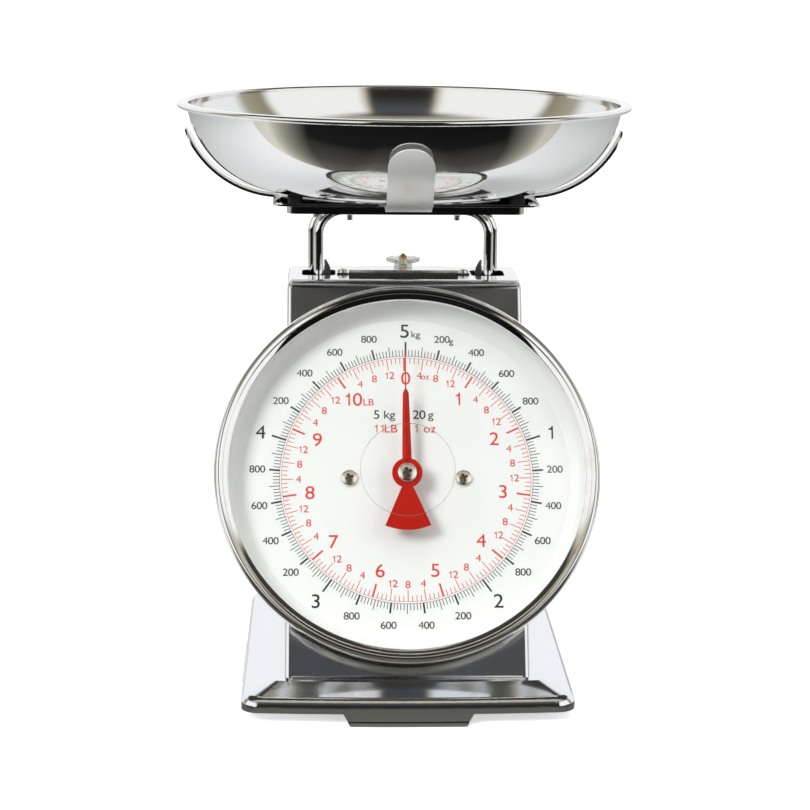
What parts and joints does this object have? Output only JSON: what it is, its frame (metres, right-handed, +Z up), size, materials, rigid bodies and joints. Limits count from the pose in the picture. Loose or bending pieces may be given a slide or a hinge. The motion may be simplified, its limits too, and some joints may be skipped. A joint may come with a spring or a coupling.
{
  "type": "kitchen scale",
  "caption": "Mechanical kitchen scale: a round dial on an inclined chromed housing, and a lift-off steel bowl held in a four-armed cradle on bent rods.",
  "frame": {"origin": "on the table, under the middle of the scale's whole extent", "axes": "+X to the right of someone reading the dial, +Y away from them, +Z up"},
  "size_m": [0.23, 0.2544, 0.2837],
  "materials": {
    "bowl_steel": "polished stainless steel, satin inside",
    "satin_steel": "satin",
    "chrome": "mirror polished",
    "screw_steel": "bright plated",
    "plated_steel": "zinc plated",
    "spring_steel": "bright drawn wire",
    "rubber": "matt",
    "dial_enamel": "smooth off-white enamel",
    "lens_clear": "clear",
    "brass": "turned",
    "pointer_red": "satin red lacquer",
    "knob_white": "milky"
  },
  "bodies": {
    "stand": {"base_pan": "chrome", "base_screws": "screw_steel", "housing_shell": "chrome", "rear_cover": "satin_steel", "rear_cover_screws": "screw_steel", "dial_drum": "satin_steel", "dial_plate": "dial_enamel", "dial_spacers": "brass", "dial_screws": "screw_steel", "bezel": "chrome", "lens": "lens_clear", "front_bush": "brass", "rear_bush": "brass", "movement_plate": "plated_steel", "rack_guide": "brass", "left_side_plate": "plated_steel", "right_side_plate": "plated_steel", "upper_pivot_pin": "screw_steel", "lower_pivot_pin": "screw_steel", "adjust_bracket": "satin_steel", "bracket_screws": "screw_steel"},
    "load": {"bowl_cradle": "satin_steel", "cradle_pads": "rubber", "cradle_screws": "screw_steel", "cradle_nuts": "screw_steel", "platform": "chrome", "front_bail": "chrome", "rear_bail": "chrome", "upper_yoke": "plated_steel", "lower_yoke": "plated_steel", "upper_yoke_pin": "screw_steel", "lower_yoke_pin": "screw_steel"},
    "bowl": {"bowl": "bowl_steel"},
    "hand": {"pointer": "pointer_red", "pointer_screw": "screw_steel", "pointer_shaft": "screw_steel", "pinion": "brass"},
    "rack": {"rack": "brass"},
    "upper_lever": {"upper_guide_lever": "plated_steel"},
    "lower_lever": {"lower_guide_lever": "plated_steel"},
    "knob": {"zero_knob": "knob_white"},
    "hanger": {"adjust_stud": "brass", "spring_hanger": "plated_steel", "left_spring": "spring_steel", "right_spring": "spring_steel"}
  },
  "joints": [
    {"name": "load_slide", "type": "slide", "parent": "stand", "child": "load", "axis": [0, 0, 1], "range_m": [-0.0205, 0.001], "stiffness_N_per_m": 2433.7, "springref_m": 0.0037, "deforming": ["left_spring", "right_spring"]},
    {"name": "bowl_lift", "type": "slide", "parent": "load", "child": "bowl", "axis": [0, 0, 1], "range_m": [0, 0.08]},
    {"name": "pointer_spin", "type": "hinge", "parent": "stand", "child": "hand", "pos_m": [0, -0.06028, 0.10341], "axis": [0, -0.891, 0.454], "range_deg": [-366.48, 18.16]},
    {"name": "rack_slide", "type": "slide", "parent": "stand", "child": "rack", "axis": [0, 0.454, 0.891], "range_m": [-0.02304, 0.00115]},
    {"name": "upper_lever_swing", "type": "hinge", "parent": "stand", "child": "upper_lever", "pos_m": [0, -0.01379, 0.16437], "axis": [1, 0, 0], "range_deg": [-28.8, 1.45]},
    {"name": "lower_lever_swing", "type": "hinge", "parent": "stand", "child": "lower_lever", "pos_m": [0, -0.01379, 0.08637], "axis": [1, 0, 0], "range_deg": [-28.8, 1.45]},
    {"name": "knob_turn", "type": "hinge", "parent": "stand", "child": "knob", "pos_m": [0, 0.01221, 0.19562], "axis": [0, 0, 1], "range_deg": [-541, 541]},
    {"name": "hanger_slide", "type": "slide", "parent": "stand", "child": "hanger", "axis": [0, 0, 1], "range_m": [-0.00105, 0.00105], "deforming": ["left_spring", "right_spring"]}
  ],
  "couplings": [
    {"joint": "pointer_spin", "follows": "load_slide", "rad_per_m": 311.76},
    {"joint": "rack_slide", "follows": "load_slide", "ratio": 1.1223},
    {"joint": "upper_lever_swing", "follows": "load_slide", "rad_per_m": 24.473},
    {"joint": "lower_lever_swing", "follows": "load_slide", "rad_per_m": 24.473},
    {"joint": "knob_turn", "follows": "hanger_slide", "rad_per_m": 8976}
  ]
}
